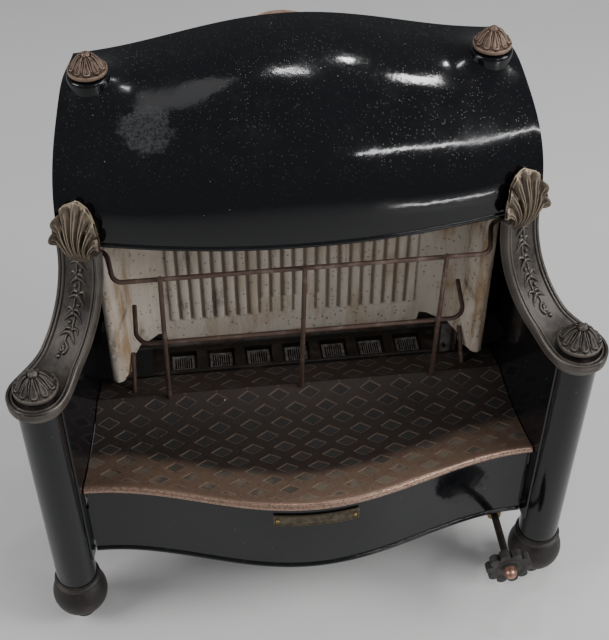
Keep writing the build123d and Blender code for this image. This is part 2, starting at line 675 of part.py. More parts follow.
shoe = block(bolt_x - 14, far_x, burner_front + 6, burner_back - 6, burner_low - 3, burner_low)
shoe += (block(near_x, far_x, burner_front + 6, burner_back - 6, burner_low - 34, burner_low)
         - splay_wedge(panel_inner - sheet - fit_gap, 0, above_all))
shoe &= splay_wedge(panel_inner - fit_gap, 0, above_all)
save_both("burner_brackets", shoe - bolt_hole)
bolts = []
for x in (-bolt_x, bolt_x):
    head = Plane(origin=(x, burner_mid, burner_low - 7)) * extrude(RegularPolygon(5, 6), 4)
    bolts.append(head + bar(2.5, (x, burner_mid, burner_low - 4), (x, burner_mid, burner_low + 7)))
save("burner_bolts", Compound(children=[b.solid() for b in bolts]))

# ---- Mixing tube, air shutter and gas nozzle ----
bend = 28.0
tube_line = FilletPolyline((0, burner_mid, burner_low - 4), (0, burner_mid, mixer_z),
                           (mixer_mouth_x - 4, burner_mid, mixer_z), radius=bend)
start_plane = Plane(tube_line @ 0, z_dir=tube_line % 0)
mixer = sweep(start_plane * Circle(mixer_radius), tube_line)
mixer += bar(mixer_radius + 8, (0, burner_mid, burner_low - 5), (0, burner_mid, burner_low))
mouth = Plane(origin=(mixer_mouth_x - 26, burner_mid, mixer_z), z_dir=(1, 0, 0))
mixer += mouth * Pos(0, 0, 13) * Cone(mixer_radius, 21, 26)
mixer -= sweep(start_plane * Circle(mixer_radius - 3), tube_line)
mixer -= mouth * Pos(0, 0, 11) * Cone(mixer_radius - 3, 18, 26)
mixer -= bar(mixer_radius - 4, (0, burner_mid, burner_low - 6), (0, burner_mid, burner_low + 1))
mixer -= bar(spud_radius + 0.4, (mixer_mouth_x - 8, burner_mid, mixer_z), (mixer_mouth_x + 4, burner_mid, mixer_z))
shutter = bar(21, (mixer_mouth_x + fit_gap, burner_mid, mixer_z), (mixer_mouth_x + 2, burner_mid, mixer_z))
shutter -= bar(spud_radius + running_gap, (mixer_mouth_x - 1, burner_mid, mixer_z),
               (mixer_mouth_x + 9, burner_mid, mixer_z))
for i in range(4):
    turn = math.radians(90 * i)
    y = burner_mid + air_ring * math.cos(turn)
    z = mixer_z + air_ring * math.sin(turn)
    air_hole = bar(air_hole_radius, (mixer_mouth_x - 6, y, z), (mixer_mouth_x + 6, y, z))
    mixer -= air_hole
    shutter -= air_hole
save("mixing_tube", mixer)
save("air_shutter", shutter)
nozzle = bar(spud_radius, (mixer_mouth_x - 6, burner_mid, mixer_z), (mixer_mouth_x + 8, burner_mid, mixer_z))
nozzle += Plane(origin=(mixer_mouth_x + 2.3, burner_mid, mixer_z), z_dir=(1, 0, 0)) * extrude(RegularPolygon(8, 6), 12)
nozzle -= bar(0.8, (mixer_mouth_x - 7, burner_mid, mixer_z), (mixer_mouth_x + 15, burner_mid, mixer_z))
save("gas_nozzle", nozzle)

# ---- Gas tap: body, gland, plug, stem, handle and cap nut ----
pipe_x = 152.0
outlet_x = tap_x - 24.0
pipe_line = FilletPolyline((mixer_mouth_x + 14.3, burner_mid, mixer_z), (pipe_x, burner_mid, mixer_z),
                           (pipe_x, burner_mid, tap_z), (pipe_x, tap_y, tap_z),
                           (outlet_x, tap_y, tap_z), radius=14)
pipe_start = Plane(pipe_line @ 0, z_dir=pipe_line % 0)
pipe = sweep(pipe_start * Circle(pipe_radius), pipe_line)
save("gas_pipe", pipe)
body_back = tap_y + 18
tap = bar(tap_radius, (tap_x, tap_y - 18, tap_z), (tap_x, body_back, tap_z))
tap += bar(10, (tap_x, tap_y - 24, tap_z), (tap_x, tap_y, tap_z))
outlet_plane = Plane(origin=(outlet_x, tap_y, tap_z), z_dir=(1, 0, 0))
tap += outlet_plane * extrude(RegularPolygon(9, 6), 14)
inlet_face = tap_x + 29.0
tap += bar(10, (tap_x, tap_y, tap_z), (inlet_face, tap_y, tap_z))
tap -= bar(plug_radius + running_gap, (tap_x, tap_y - 14, tap_z), (tap_x, body_back - 3, tap_z))
tap -= bar(stem_radius + running_gap, (tap_x, tap_y - 30, tap_z), (tap_x, tap_y, tap_z))
tap -= bar(6 + running_gap, (inlet_face - 10, tap_y, tap_z), (inlet_face + 1, tap_y, tap_z))
save("tap_body", tap)
plug = bar(plug_radius, (tap_x, tap_y - 13.7, tap_z), (tap_x, body_back - 3.3, tap_z))
plug -= bar(3, (tap_x - 10, tap_y, tap_z), (tap_x + 10, tap_y, tap_z))
save("tap_plug", plug)
stem_end = knob_y - 11
stem = bar(stem_radius, (tap_x, tap_y - 14 - fit_gap / 3, tap_z), (tap_x, stem_end, tap_z))
save("tap_stem", stem)
gland_plane = Plane(origin=(tap_x, tap_y - 24, tap_z), z_dir=(0, -1, 0))
gland = gland_plane * extrude(RegularPolygon(9, 6), 7)
gland -= bar(stem_radius + running_gap, (tap_x, tap_y - 40, tap_z), (tap_x, tap_y - 20, tap_z))
save("tap_gland_nut", gland)
handle = bar(21.5, (tap_x, knob_y + 5, tap_z), (tap_x, knob_y - 5, tap_z))
for i in range(knob_lobes):
    turn = 2 * math.pi * i / knob_lobes
    x = tap_x + (knob_radius - 6.5) * math.cos(turn)
    z = tap_z + (knob_radius - 6.5) * math.sin(turn)
    handle += bar(6.5, (x, knob_y + 5, z), (x, knob_y - 5, z))
handle += bar(10, (tap_x, knob_y + 12, tap_z), (tap_x, knob_y - 6, tap_z))
dish = Pos(tap_x, knob_y - 11, tap_z) * Rot(90, 0, 0) * Torus(16, 7)
handle -= dish
handle -= bar(stem_radius + running_gap, (tap_x, knob_y + 20, tap_z), (tap_x, knob_y - 20, tap_z))
save("tap_handle", handle)
nut_hole = stem_radius + running_gap
nut_wall = cap_nut_reach - 6.0 - cap_nut_radius
nut_depth = 5.2
nut_dome = ThreePointArc((cap_nut_radius, nut_wall),
                         (cap_nut_radius * math.sqrt(0.5), nut_wall + cap_nut_radius * math.sqrt(0.5)),
                         (0, nut_wall + cap_nut_radius))
nut_rest = Polyline(nut_dome @ 1, (0, nut_depth), (nut_hole, nut_depth), (nut_hole, 0),
                    (cap_nut_radius, 0), nut_dome @ 0)
nut = revolve(Plane.XZ * make_face(nut_dome + nut_rest), Axis.Z)
save("tap_cap_nut", Pos(tap_x, knob_y - 6, tap_z) * Rot(90, 0, 0) * nut)
nipple_end = half_span + 8.0
nipple = bar(inlet_radius, (inlet_face, tap_y, tap_z), (nipple_end, tap_y, tap_z))
nipple += bar(6, (inlet_face - 9.5, tap_y, tap_z), (inlet_face + 2, tap_y, tap_z))
nipple -= bar(4.5, (inlet_face - 12, tap_y, tap_z), (nipple_end + 1, tap_y, tap_z))
save("inlet_nipple", nipple)
hanger = ledge_band & block(near_x, far_x, tap_y - 15, tap_y + 15, tap_z - 15, body_bottom + 50)
hanger -= bar(10 + fit_gap, (near_x, tap_y, tap_z), (far_x, tap_y, tap_z))
save("tap_hanger", hanger)

# ---- Wire guard, hooked into the side panels ----
hook_end = panel_x(hinge_y, panel_outer) + 4
rail = FilletPolyline((hook_end, hinge_y, hinge_z), (guard_turn_x + 6, hinge_y, hinge_z),
                      (guard_turn_x, rail_y, rail_z), (-guard_turn_x, rail_y, rail_z),
                      (-guard_turn_x - 6, hinge_y, hinge_z), (-hook_end, hinge_y, hinge_z), radius=11)
top_rail = sweep(Plane(rail @ 0, z_dir=rail % 0) * Circle(wire), rail)
save("guard_top_rail", top_rail)
weld_gap = 0.1
upright_y = rail_y - 2 * wire - weld_gap
foot_z = hearth_back_height - 0.4
lean = (upright_foot_y - upright_y) / (rail_z - foot_z)
low_rail_y = upright_y + lean * (rail_z - low_rail_z) + 2 * wire + weld_gap
low = FilletPolyline((184, 136, low_rail_z + 16), (184, low_rail_y, low_rail_z),
                     (-184, low_rail_y, low_rail_z), (-184, 136, low_rail_z + 16), radius=16)
low_rail = sweep(Plane(low @ 0, z_dir=low % 0) * Circle(wire), low)
save("guard_low_rail", low_rail)
top_z = rail_z + 8
for name, side in (("left", -1), ("middle", 0), ("right", 1)):
    upright = bar(wire, (side * upright_low_half, upright_foot_y, foot_z),
                  (side * upright_top_half, upright_y - lean * 8, top_z))
    save(f"guard_upright_{name}", upright)
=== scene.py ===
import bmesh
import bpy
import numpy as np
from math import cos, pi, radians, sin, sqrt, tan
from mathutils import Matrix, Vector, noise


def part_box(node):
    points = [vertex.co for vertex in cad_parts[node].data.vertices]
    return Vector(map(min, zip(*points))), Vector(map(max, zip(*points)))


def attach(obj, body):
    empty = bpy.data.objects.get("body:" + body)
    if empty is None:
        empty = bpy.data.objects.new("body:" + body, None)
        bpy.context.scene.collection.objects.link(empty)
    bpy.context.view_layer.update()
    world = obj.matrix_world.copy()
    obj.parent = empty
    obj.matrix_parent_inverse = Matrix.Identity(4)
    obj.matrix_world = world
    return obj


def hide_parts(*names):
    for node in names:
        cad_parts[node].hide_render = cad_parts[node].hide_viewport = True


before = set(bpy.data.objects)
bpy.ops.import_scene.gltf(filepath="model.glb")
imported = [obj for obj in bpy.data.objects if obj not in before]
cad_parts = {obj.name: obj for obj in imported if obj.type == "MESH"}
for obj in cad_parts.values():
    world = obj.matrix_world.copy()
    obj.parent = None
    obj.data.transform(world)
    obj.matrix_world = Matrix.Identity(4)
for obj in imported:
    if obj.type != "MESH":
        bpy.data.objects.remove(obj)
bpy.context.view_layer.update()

# ---- Camera ----
# It stands in front of the heater, a little to its left and well above it, and
# looks down through a long lens, so that the hearth and the hood both show.
camera = bpy.data.objects.new("camera", bpy.data.cameras.new("camera"))
bpy.context.scene.collection.objects.link(camera)
bpy.context.scene.camera = camera
camera.data.sensor_width = 36.0
camera.data.lens = 69.8
look_right, look_down, tilt = radians(6.863), radians(44.868), radians(0.14)
turn = (Matrix.Rotation(-look_right, 4, "Z") @ Matrix.Rotation(pi / 2 - look_down, 4, "X")
        @ Matrix.Rotation(tilt, 4, "Z"))
camera.matrix_world = Matrix.Translation((-0.1139, -0.9958, 1.3516)) @ turn


# ---- Columns, side panels and skirt ----
# Sheet steel under glossy black vitreous enamel, fired on, so it has a faint
# orange peel. Dust has settled on it in fine pale specks and it has a few chips.
class Field:
    """A socket of a material. Arithmetic on it adds Math nodes, and node() adds any other."""

    def __init__(self, tree, socket=None):
        self.tree = tree
        self.socket = socket

    def node(self, kind, settings=(), sockets=(), output=0):
        made = self.tree.nodes.new("ShaderNode" + kind)
        for name, value in dict(settings).items():
            setattr(made, name, value)
        for name, value in dict(sockets).items():
            if isinstance(value, Field):
                self.tree.links.new(value.socket, made.inputs[name])
            else:
                made.inputs[name].default_value = value
        return Field(self.tree, made.outputs[output])

    def output(self, name):
        return Field(self.tree, self.socket.node.outputs[name])

    def math(self, operation, *values):
        return self.node("Math", {"operation": operation}, enumerate(values))

    def __add__(self, other):
        return self.math("ADD", self, other)

    def __sub__(self, other):
        return self.math("SUBTRACT", self, other)

    def __rsub__(self, other):
        return self.math("SUBTRACT", other, self)

    def __mul__(self, other):
        return self.math("MULTIPLY", self, other)

    def __truediv__(self, other):
        return self.math("DIVIDE", self, other)

    __radd__ = __add__
    __rmul__ = __mul__

    def rise(self, low, high):
        """0 where this is under low, 1 where it is over high, and smooth between."""
        smooth = {"interpolation_type": "SMOOTHSTEP"}
        return self.node("MapRange", smooth, {0: self, 1: low, 2: high})

    def tint(self, under, over):
        """Colour under where this is 0, and over where it is 1."""
        colours = [c if isinstance(c, Field) else (*c, 1.0) for c in (under, over)]
        return self.node("Mix", {"data_type": "RGBA"}, {0: self, 6: colours[0], 7: colours[1]}, 2)

    def stretch(self, x, y, z):
        return self.node("VectorMath", {"operation": "MULTIPLY"}, {0: self, 1: (x, y, z)})

    def noise(self, scale, detail=4.0, roughness=0.55, distortion=0.0):
        values = {"Vector": self, "Scale": scale, "Detail": detail, "Roughness": roughness,
                  "Distortion": distortion}
        return self.node("TexNoise", {}, values)

    def specks(self, scale, size, share):
        """Round specks, one in each cell of a share of the cells."""
        cells = self.node("TexVoronoi", {}, {"Vector": self, "Scale": scale})
        chosen = cells.output("Color").node("SeparateColor", {}, {0: cells.output("Color")})
        return (1 - cells.rise(size * 0.6, size)) * chosen.rise(1 - share, 1 - share + 0.01)


def start(name, **constants):
    """A new material with constants set on its shader; returns it and its object coordinates."""
    made = bpy.data.materials.new(name)
    made.use_nodes = True
    shader = made.node_tree.nodes["Principled BSDF"]
    for socket, value in constants.items():
        shader.inputs[socket.replace("_", " ")].default_value = value
    return made, Field(made.node_tree).node("TexCoord", output="Object")


def lay(made, colour, roughness, height=None, depth=0.0005, metallic=None):
    """Link what changes over the surface to the material's shader."""
    tree = made.node_tree
    shader = tree.nodes["Principled BSDF"]
    tree.links.new(colour.socket, shader.inputs["Base Color"])
    tree.links.new(roughness.socket, shader.inputs["Roughness"])
    if metallic is not None:
        tree.links.new(metallic.socket, shader.inputs["Metallic"])
    if height is not None:
        bump = height.node("Bump", {}, {"Height": height, "Distance": depth})
        tree.links.new(bump.socket, shader.inputs["Normal"])


def upward(at):
    """How far the surface faces up, where dust settles."""
    normal = at.node("NewGeometry", output="Normal")
    return normal.node("SeparateXYZ", {}, {0: normal}, 2).rise(0.15, 0.95)


def enamel(name, worn=None):
    """Black enamel; worn is the middle of a rubbed patch, its half sizes and its strength."""
    made, at = start(name, IOR=1.5, Specular_IOR_Level=0.34)
    cloud = at.noise(9.0, 5.0).rise(0.42, 0.68)
    grains = at.specks(430.0, 0.24, 0.42)
    film = at.noise(46.0, 6.0, 0.7).rise(0.45, 0.75)
    dust = (upward(at) * (0.35 + 0.65 * cloud)) * (grains * 0.55 + film * 0.035)
    colour = dust.tint((0.0042, 0.0044, 0.0056), (0.20, 0.18, 0.155))
    colour = at.specks(23.0, 0.045, 0.10).tint(colour, (0.55, 0.53, 0.48))
    colour = at.specks(120.0, 0.085, 0.10).tint(colour, (0.17, 0.165, 0.155))
    roughness = 0.085 + dust * 0.42 + at.noise(14.0).rise(0.35, 0.75) * 0.09
    height = at.noise(75.0, 2.0) * 0.7 + grains * 0.12
    if worn is not None:
        middle, half, strength = worn
        away = at.node("VectorMath", {"operation": "SUBTRACT"}, {0: at, 1: middle})
        away = away.stretch(1 / half[0], 1 / half[1], 1 / half[2])
        reach = away.node("VectorMath", {"operation": "LENGTH"}, {0: away}, 1)
        ragged = reach + (at.noise(85.0, 6.0, 0.75) - 0.5) * 1.3
        rubbed = (1 - ragged.rise(0.72, 0.98)) * strength
        rubbed = rubbed * at.noise(330.0, 5.0, 0.75).rise(0.30, 0.60)
        colour = rubbed.tint(colour, (0.085, 0.085, 0.088))
        roughness = roughness + rubbed * 0.5
    lay(made, colour, roughness, height, 0.00025)
    return made


def dress(finish, slot, *nodes):
    """Give CAD nodes their material; slot, the finish's name, is not used."""
    for name in nodes:
        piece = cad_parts[name]
        piece.data.materials.clear()
        piece.data.materials.append(finish)


black_enamel = enamel("black_enamel")
dress(black_enamel, "black_enamel", "column_left", "column_right", "side_panel_left",
      "side_panel_right", "front_skirt")


# ---- Back panel, flue box and collar ----
# Thin sheet with dull stove paint, never enamelled because it faces the wall.
# It has gone brown with rust where the paint is thin.
def stove_paint(name):
    made, at = start(name, IOR=1.45)
    rust = at.noise(17.0, 7.0, 0.68, 0.6).rise(0.55, 0.72) * at.noise(160.0, 4.0).rise(0.35, 0.65)
    colour = at.noise(60.0, 5.0).tint((0.014, 0.014, 0.015), (0.034, 0.032, 0.031))
    colour = rust.tint(colour, (0.105, 0.048, 0.024))
    lay(made, colour, 0.46 + rust * 0.32 + at.noise(30.0) * 0.14, at.noise(300.0, 5.0), 0.0004)
    return made


dress(stove_paint("stove_paint"), "back_sheet", "back_panel", "flue_box", "flue_collar")


# ---- Flue cap ----
# A pressed disc with a ring of holes, washed in copper tan like the castings
# and dulled by heat.
cap_paint, at = start("tan_cap_paint", Metallic=0.25)
scorch = at.noise(34.0, 6.0, 0.65).rise(0.40, 0.72)
lay(cap_paint, scorch.tint((0.330, 0.215, 0.155), (0.135, 0.082, 0.058)),
    0.48 + scorch * 0.22, at.noise(420.0, 4.0), 0.00035)
dress(cap_paint, "tan_cap", "flue_cap")


# ---- Plain steel inside: brackets, ledges, screws, rods, baffle, shutter ----
# Cut and bent strip, unpainted, blued by heat and browned by thin rust.
steel, at = start("dull_steel", Metallic=0.75)
stain = at.noise(24.0, 7.0, 0.7, 0.4).rise(0.38, 0.70)
lay(steel, stain.tint((0.20, 0.19, 0.18), (0.082, 0.048, 0.030)), 0.38 + stain * 0.34,
    at.noise(500.0, 4.0) + stain * 0.5, 0.0003)
dress(steel, "plain_steel", "tie_rods", "finial_studs", "hearth_ledges", "hood_brackets",
      "burner_brackets", "corner_angles", "fireback_shelf", "heat_baffle", "air_shutter",
      "tap_hanger", "burner_bolts", "back_panel_screws", "flue_box_screws")


# ---- Feet and rear legs ----
# Iron castings: a ball foot with a neck ring under each column, and a plain
# turned leg under each rear corner, all dark brown-black and lightly scuffed.
def cast_iron(name, dark, light, metallic=0.35, grain=0.0005):
    made, at = start(name, Metallic=metallic)
    scuff = at.noise(38.0, 7.0, 0.7).rise(0.48, 0.72)
    sand = at.noise(620.0, 3.0, 0.6)
    lay(made, scuff.tint(dark, light), 0.40 + scuff * 0.20 + sand * 0.10, sand + scuff * 0.3, grain)
    return made


dress(cast_iron("foot_iron", (0.017, 0.0135, 0.0125), (0.062, 0.046, 0.039)), "dark_iron",
      "front_foot_left", "front_foot_right", "rear_leg_left", "rear_leg_right")


# ---- Hearth ----
# One cast plate with a copper wash. It is worn bright along the rolled front edge,
# has the hood's shadow painted dark over the dished middle, and is grey in the sunk
# diamonds, whose rims carry a painted highlight.
MM = 0.001
row_y = -121.0 * MM
bow_half, bow_deep = 258.7 * MM, 52.0 * MM
hearth_copper, at = start("hearth_copper")
split = at.node("SeparateXYZ", {}, {0: at})
x, y = split, split.output(1)
bow = x.math("COSINE", x * (pi / (2 * bow_half)))
from_front = y - row_y + 2.0 * MM + bow * bow * bow_deep
pitch_x, pitch_y, half_long, half_wide = 36.3 * MM, 15.2 * MM, 11.8 * MM, 6.3 * MM
ledge_row = (y - row_y).math("GREATER_THAN", y - row_y, 103.0 * MM)
rows = (y - row_y + 27.0 * MM - ledge_row * (2.5 * MM)) / pitch_y
row = rows.math("ROUND", rows)
odd = row.math("FLOORED_MODULO", row, 2.0)
cols = (x - 9.0 * MM - odd * (pitch_x / 2)) / pitch_x
across = cols.math("ABSOLUTE", cols - cols.math("ROUND", cols)) * (pitch_x / half_long)
along = rows.math("ABSOLUTE", rows - row) * (pitch_y / half_wide)
diamond = across + along
outline_start = from_front.rise(10.0 * MM, 13.0 * MM)
floor_mask = (1 - diamond.rise(0.93, 1.0)) * outline_start
# Painted highlight: a thin light line round each sunk diamond, dimmer under the painted shadow.
rim_highlight = diamond.rise(0.92, 1.0) * (1 - diamond.rise(1.03, 1.16)) * outline_start
blotch = at.noise(13.0, 6.0, 0.62)
fine = at.noise(260.0, 5.0, 0.65)
# Painted shadow of the hood, dark over the dished middle; it also darkens the diamond floors.
hood_shadow = (from_front + (blotch - 0.5) * (22.0 * MM)).rise(33.0 * MM, 54.0 * MM)
back_dust = (y - row_y + (blotch - 0.5) * (40.0 * MM)).rise(62.0 * MM, 118.0 * MM)
worn = 1 - from_front.rise(3.0 * MM, 9.0 * MM)
colour = hood_shadow.tint((0.215, 0.145, 0.105), (0.022, 0.0150, 0.0125))
colour = (back_dust * 0.7).tint(colour, (0.046, 0.034, 0.029))
colour = (fine.rise(0.45, 0.75) * 0.45).tint(colour, (0.036, 0.027, 0.023))
colour = (worn * fine.rise(0.30, 0.62)).tint(colour, (0.34, 0.215, 0.165))
colour = (rim_highlight * (0.75 - hood_shadow * 0.40)).tint(colour, (0.36, 0.27, 0.205))
soot = at.noise(27.0, 3.0).rise(0.46, 0.60)
floor_colour = hood_shadow.tint((0.082, 0.067, 0.050), (0.0085, 0.0072, 0.0066))
floor_colour = (soot * 0.7).tint(floor_colour, (0.008, 0.0075, 0.007))
floor_colour = (back_dust * 0.6).tint(floor_colour, (0.030, 0.024, 0.021))
colour = (floor_mask * 0.9).tint(colour, floor_colour)
crumbs = at.specks(55.0, 0.055, 0.055)
colour = crumbs.tint(colour, (0.62, 0.60, 0.55))
roughness = 0.30 - worn * 0.08 + hood_shadow * 0.20 + floor_mask * 0.25 + fine * 0.12 + crumbs * 0.2
metal = (1 - floor_mask) * (0.62 - hood_shadow * 0.22)
lay(hearth_copper, colour, roughness, fine + crumbs * 1.5, 0.0005, metal)
dress(hearth_copper, "hearth_copper", "hearth_plate")


# ---- Burner ----
# A dark iron trough with a rib along its front, and a slotted grey grid in
# each of its ports. The bends of the mixing tube under it are of the same iron.
dress(cast_iron("burner_iron", (0.016, 0.0125, 0.011), (0.075, 0.052, 0.042), 0.3), "burner_iron",
      "burner_box", "mixing_tube")
grid_iron, at = start("grid_iron", Metallic=0.3)
ash = at.noise(190.0, 5.0, 0.7).rise(0.35, 0.70)
lay(grid_iron, ash.tint((0.065, 0.058, 0.054), (0.26, 0.245, 0.23)), 0.62 + ash * 0.2,
    at.noise(700.0, 3.0), 0.0004)
dress(grid_iron, "grid_iron", "burner_grids")


# ---- Guard and the pins that hold the clay ----
# Steel wire, welded at its crossings, browned all over by rust, with a little
# bare metal where a hand has rubbed it.
guard_wire, at = start("rusty_wire", Metallic=0.45)
bare = at.noise(55.0, 5.0, 0.6).rise(0.50, 0.72)
rust = at.noise(340.0, 5.0, 0.7)
lay(guard_wire, bare.tint((0.092, 0.056, 0.043), (0.185, 0.135, 0.115)),
    0.36 + rust * 0.30, rust, 0.00035)
dress(guard_wire, "guard_wire", "guard_top_rail", "guard_low_rail", "guard_upright_left",
      "guard_upright_middle", "guard_upright_right", "fireback_pins")


# ---- Gas tap, pipe and inlet ----
# A brass tap with a plug and a gland, an iron pipe to the nozzle, and a cast
# iron hand wheel on a long stem, held by a domed copper nut.
old_brass, at = start("old_brass", Metallic=0.85)
tarnish = at.noise(48.0, 6.0, 0.68).rise(0.36, 0.68)
lay(old_brass, tarnish.tint((0.31, 0.215, 0.085), (0.085, 0.058, 0.032)),
    0.30 + tarnish * 0.34, at.noise(520.0, 4.0), 0.0003)
dress(old_brass, "old_brass", "tap_body", "tap_plug", "tap_gland_nut", "gas_nozzle",
      "nameplate_rivets")
dress(cast_iron("pipe_iron", (0.020, 0.016, 0.0145), (0.090, 0.064, 0.052), 0.55), "pipe_iron",
      "gas_pipe", "inlet_nipple", "tap_stem")
dress(cast_iron("handle_iron", (0.024, 0.0225, 0.021), (0.115, 0.105, 0.095), 0.4, 0.0009),
      "handle_iron", "tap_handle")
nut_copper, at = start("nut_copper", Metallic=0.8)
grime = at.noise(220.0, 5.0, 0.65).rise(0.42, 0.66)
lay(nut_copper, grime.tint((0.44, 0.235, 0.175), (0.10, 0.060, 0.048)), 0.30 + grime * 0.3,
    at.noise(500.0, 3.0), 0.0003)
dress(nut_copper, "copper_nut", "tap_cap_nut")


# ---- Nameplate ----
# A thin brass strip, gone dull brown, bent to the skirt's bow and held by two
# rivets. It is left blank inside a raised rim.
def grid_piece(name, points, finish, body="body", wrap=False, caps=False, crease=50.0):
    """A piece whose skin runs through rows of points; wrap joins each row's ends."""
    count, width = points.shape[:2]
    faces = []
    for i in range(count - 1):
        for j in range(width if wrap else width - 1):
            k = (j + 1) % width
            a, b = i * width, (i + 1) * width
            faces.append((a + j, a + k, b + k, b + j))
    if caps:
        faces.append(tuple(range(width))[::-1])
        faces.append(tuple((count - 1) * width + j for j in range(width)))
    mesh = bpy.data.meshes.new(name)
    mesh.from_pydata(points.reshape(-1, 3).tolist(), [], faces)
    shell = bmesh.new()
    shell.from_mesh(mesh)
    bmesh.ops.recalc_face_normals(shell, faces=shell.faces)
    shell.to_mesh(mesh)
    shell.free()
    mesh.shade_smooth()
    mesh.set_sharp_from_angle(angle=radians(crease))
    mesh.materials.append(finish)
    piece = bpy.data.objects.new(name, mesh)
    bpy.context.scene.collection.objects.link(piece)
    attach(piece, body)
    return piece


def smooth(value, low, high):
    """0 where value is under low, 1 where it is over high, and smooth between."""
    t = np.clip((value - low) / (high - low), 0.0, 1.0)
    return t * t * (3 - 2 * t)


plate_low, plate_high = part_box("nameplate")
plate_half = (plate_high.x - plate_low.x) / 2
plate_tall = plate_high.z - plate_low.z
a = np.linspace(-1.0, 1.0, 197)[None, :]
b = np.linspace(0.0, 1.0, 37)[:, None]
px = a * plate_half + 0 * b
bow_y = row_y + 2.0 * MM - bow_deep * np.cos(pi * px / (2 * bow_half)) ** 2
edge = np.minimum((1 - np.abs(a)) * plate_half, np.minimum(b, 1 - b) * plate_tall)
rim = smooth(edge, 0.0, 0.5 * MM) * (1 - smooth(edge, 1.3 * MM, 2.0 * MM))
inner_rim = smooth(edge, 2.6 * MM, 3.0 * MM) * (1 - smooth(edge, 3.3 * MM, 3.8 * MM))
proud = 0.25 * MM + (0.75 * rim + 0.3 * inner_rim) * MM
front = np.stack([px, bow_y - proud, plate_low.z + b * plate_tall + 0 * a], axis=-1)
back = front.copy()
back[..., 1] = bow_y + 1.4 * MM
side = np.concatenate([back[:1, :], front, back[-1:, :]], axis=0)
plate_bronze, at = start("plate_bronze", Metallic=0.7)
dull = at.noise(150.0, 5.0, 0.65).rise(0.36, 0.66)
lay(plate_bronze, dull.tint((0.105, 0.083, 0.052), (0.058, 0.046, 0.031)), 0.34 + dull * 0.3,
    at.noise(520.0, 4.0), 0.0003)
plate = grid_piece("nameplate_relief", side, plate_bronze, crease=70.0)
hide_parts("nameplate")


# ---- Fireback ----
# One slab of fired clay: a flat wall with upright reeds over the burner, a cove
# at each end and two forward wings. It is stained tan by heat and crumbles at
# the wings' front edges.
clay_low, clay_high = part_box("fireback")
clay_wall = 15.0 * MM
clay_x, clay_front = clay_high.x - clay_wall, row_y + 121.0 * MM
clay_face, flat_half, cove = row_y + 184.0 * MM, 150.0 * MM, 46.0 * MM
reed_count, middle_reeds, end_round = 22, 6, 2.2 * MM
reed_pitch, reed_half, reed_stand = 2 * 148.0 * MM / reed_count, 4.9 * MM, 3.4 * MM
reed_foot, middle_rise = clay_low.z + 40.0 * MM, 27.0 * MM
wing_lift, notch_lift = 15.0 * MM, 5.0 * MM


def clay_line(offset):
    """Right half of the wall's plan, out from the front face by an offset, as x, y rows."""
    flat = [(x, clay_face + offset) for x in np.linspace(0, flat_half, 220)[:-1]]
    bend = [(flat_half + (cove + offset) * sin(a), clay_face - cove + (cove + offset) * cos(a))
            for a in np.linspace(0, pi / 2, 60)]
    wing_end = (clay_x + offset, clay_front)
    return np.array(flat + bend + [tuple(np.array(bend[-1]) * (1 - t) + np.array(wing_end) * t)
                                   for t in np.linspace(0, 1, 16)[1:]])


inner, outer = clay_line(0.0), clay_line(clay_wall)[::-6]
nose = [(clay_x + clay_wall / 2 * (1 - cos(a)), clay_front - clay_wall / 2 * sin(a))
        for a in np.linspace(0, pi, 14)[1:-1]]
right = np.concatenate([inner, nose, outer])
plan = np.concatenate([right, (right * (-1, 1))[::-1][1:-1]])
heights = np.concatenate([np.linspace(0, 38, 12), np.linspace(39, 72, 46), np.linspace(74, 277, 50)])
heights = heights / 277.0
px = plan[:, 0][None, :] + 0 * heights[:, None]
py = plan[:, 1][None, :] + 0 * heights[:, None]
notch = smooth(np.abs(px), 151 * MM, 154 * MM) * (1 - smooth(np.abs(px), 183 * MM, 190 * MM))
bottom = clay_low.z + smooth(np.abs(px), 151 * MM, 154 * MM) * (wing_lift + notch * notch_lift)
pz = bottom + (clay_high.z - bottom) * heights[:, None]
on_face = np.abs(py - clay_face) < 1e-6
middle_reed = (reed_count - 1) / 2
reed = np.clip(np.round(px / reed_pitch + middle_reed), 0, reed_count - 1)
q = (px / reed_pitch - (reed - middle_reed)) * reed_pitch / reed_half
foot = reed_foot + np.where(np.abs(reed - middle_reed) < middle_reeds / 2, middle_rise, 0.0)
lift = np.clip((pz - foot) / end_round, 0.0, 1.0)
round_end = np.sqrt(np.clip(1 - (1 - lift) ** 2, 0, 1))
stand = np.sqrt(np.clip(1 - np.abs(q) ** 2.4, 0, 1)) * round_end * reed_stand
py = py - np.where(on_face, stand, 0.0)
length = np.concatenate([[0], np.cumsum(np.hypot(*np.diff(plan, axis=0).T))])
is_inner = np.zeros(len(plan), bool)
is_inner[:len(inner)] = True
is_inner[-(len(inner) - 1):] = True
arc = np.where(is_inner, np.minimum(length, length[-1] - length), 0.0)
roll = np.clip(np.sin((arc - flat_half - 14 * MM) / (25.0 * MM) * pi), 0, 1) ** 0.8
roll = roll * is_inner * smooth(arc, flat_half + 13 * MM, flat_half + 15 * MM) * 3.2 * MM
facing = np.stack([np.sign(plan[:, 0]) * flat_half - plan[:, 0], clay_face - cove - plan[:, 1]],
                  axis=1)
facing /= np.linalg.norm(facing, axis=1)[:, None] + 1e-12
px = px + facing[:, 0] * roll
py = py + facing[:, 1] * roll
rough = [[noise.noise(Vector((px[i, j], py[i, j], pz[i, j])) * 210.0) for j in range(px.shape[1])]
         for i in range(px.shape[0])]
edge = smooth(-py, -(clay_front + 9 * MM), -(clay_front - 1 * MM))
py = py + np.array(rough) * (0.25 + 1.3 * edge) * MM * 0.8
fireclay, at = start("fireclay")
split = at.node("SeparateXYZ", {}, {0: at})
streak = at.stretch(1.0, 1.0, 0.16).noise(44.0, 6.0, 0.65)
